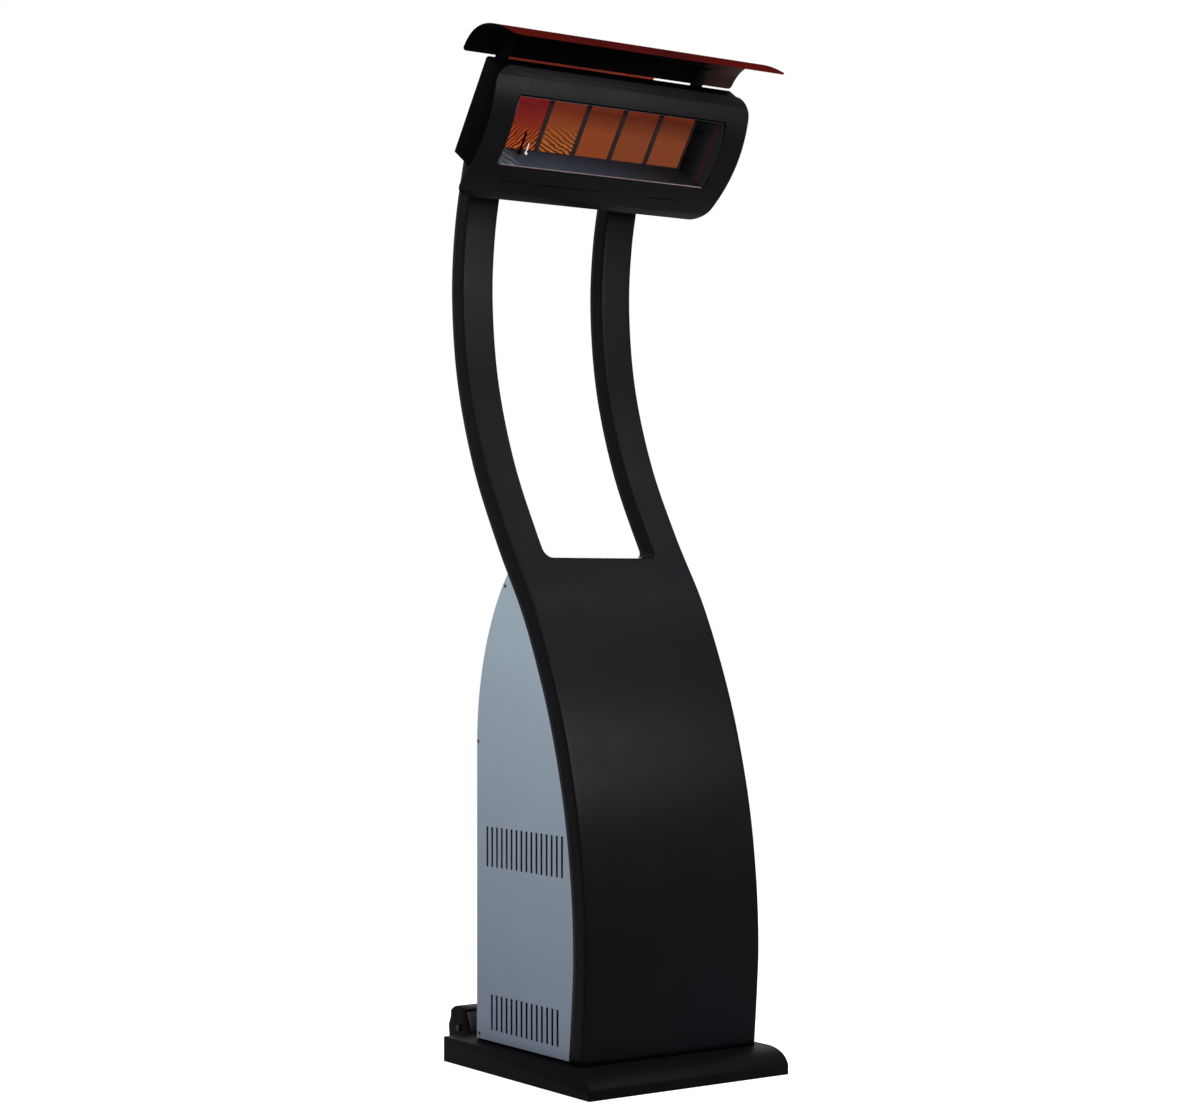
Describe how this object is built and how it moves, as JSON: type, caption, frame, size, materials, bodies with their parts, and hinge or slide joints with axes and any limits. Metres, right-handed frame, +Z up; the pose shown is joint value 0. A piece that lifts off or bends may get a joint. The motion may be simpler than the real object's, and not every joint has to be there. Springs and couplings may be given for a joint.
{
  "type": "patio heater",
  "caption": "Free-standing gas radiant heater: weighted base on wheels, S-curved cabinet front rising as two arms, and a tilting burner head with ceramic tiles under a curved hood.",
  "frame": {"origin": "on the floor, under the middle of the overall width and of the overall depth", "axes": "+X to the right as seen from the front, +Y towards the door at the back, +Z up; the burner faces -Y and down"},
  "size_m": [0.748, 0.6762, 2.3053],
  "materials": {
    "black_coat": "satin powder coat",
    "base_coat": "satin powder coat",
    "grey_coat": "satin blue-grey metallic coat",
    "hood_coat": "dark red-brown satin coat",
    "ballast_iron": "rough cast",
    "foot_rubber": "matte",
    "wheel_rubber": "matte moulded",
    "zinc_steel": "zinc plated",
    "dark_steel": "blackened",
    "reflector_steel": "heat-dulled sheet",
    "heat_tinted_steel": "heat tinted",
    "brass": "satin",
    "black_plastic": "fine grain",
    "burner_ceramic": "finely perforated, glowing",
    "white_ceramic": "glazed"
  },
  "bodies": {
    "frame": {"base_pan": "base_coat", "ballast_block": "ballast_iron", "foot_1": "foot_rubber", "foot_2": "foot_rubber", "foot_3": "foot_rubber", "foot_4": "foot_rubber", "wheel_bracket_left": "base_coat", "wheel_bracket_right": "base_coat", "wheel_axle_left": "zinc_steel", "wheel_axle_right": "zinc_steel", "front_frame": "black_coat", "arm_cover_left": "black_coat", "arm_cover_right": "black_coat", "side_panel_left": "grey_coat", "side_panel_right": "grey_coat", "side_screw_left_1": "dark_steel", "side_screw_left_2": "dark_steel", "side_screw_left_3": "dark_steel", "side_screw_right_1": "dark_steel", "side_screw_right_2": "dark_steel", "side_screw_right_3": "dark_steel", "door_hinge_lower": "dark_steel", "door_hinge_upper": "dark_steel", "door_catch": "black_plastic", "rear_cover": "grey_coat", "control_panel": "black_coat", "gas_valve": "brass", "cabinet_tray": "black_coat", "cylinder_ring": "black_coat", "gas_tube": "zinc_steel", "cross_beam": "black_coat", "tilt_bracket_left": "black_coat", "tilt_bracket_right": "black_coat"},
    "head": {"head_housing": "black_coat", "head_yoke": "black_coat", "fascia": "black_coat", "reflector": "reflector_steel", "tile_frame": "dark_steel", "tile_1": "burner_ceramic", "tile_2": "burner_ceramic", "tile_3": "burner_ceramic", "tile_4": "burner_ceramic", "tile_5": "burner_ceramic", "burner_plenum": "dark_steel", "mixer_tube": "zinc_steel", "gas_inlet": "zinc_steel", "flame_sensor": "dark_steel", "igniter": "white_ceramic", "hood": "hood_coat", "hood_post_left": "black_coat", "hood_post_right": "black_coat", "flue_baffle": "heat_tinted_steel"},
    "rear_door": {"rear_door": "grey_coat", "door_handle": "black_plastic"},
    "wheel_left": {"wheel_left": "wheel_rubber"},
    "wheel_right": {"wheel_right": "wheel_rubber"},
    "control_knob": {"control_knob": "black_plastic"},
    "ignition_button": {"ignition_button": "black_plastic"},
    "tilt_knob_left": {"tilt_knob_left": "black_plastic"},
    "tilt_knob_right": {"tilt_knob_right": "black_plastic"}
  },
  "joints": [
    {"name": "head_tilt", "type": "hinge", "parent": "frame", "child": "head", "pos_m": [0, 0.06725, 2.1571], "axis": [1, 0, 0], "range_deg": [-35, 15]},
    {"name": "door_swing", "type": "hinge", "parent": "frame", "child": "rear_door", "pos_m": [0.224, 0.16245, 0.4], "axis": [0, 0, -1], "range_deg": [0, 110]},
    {"name": "wheel_left_spin", "type": "hinge", "parent": "frame", "child": "wheel_left", "pos_m": [-0.1685, 0.29265, 0.062], "axis": [1, 0, 0], "continuous": true},
    {"name": "wheel_right_spin", "type": "hinge", "parent": "frame", "child": "wheel_right", "pos_m": [0.1685, 0.29265, 0.062], "axis": [1, 0, 0], "continuous": true},
    {"name": "gas_knob_turn", "type": "hinge", "parent": "frame", "child": "control_knob", "pos_m": [-0.033, 0.16615, 0.81], "axis": [0, 1, 0], "range_deg": [0, 90]},
    {"name": "ignition_press", "type": "slide", "parent": "frame", "child": "ignition_button", "axis": [0, -1, 0], "range_m": [0, 0.0035], "stiffness_N_per_m": 800},
    {"name": "tilt_knob_left_turn", "type": "hinge", "parent": "frame", "child": "tilt_knob_left", "pos_m": [-0.13, 0.06725, 2.1571], "axis": [-1, 0, 0], "range_deg": [0, 360]},
    {"name": "tilt_knob_right_turn", "type": "hinge", "parent": "frame", "child": "tilt_knob_right", "pos_m": [0.13, 0.06725, 2.1571], "axis": [1, 0, 0], "range_deg": [0, 360]}
  ]
}
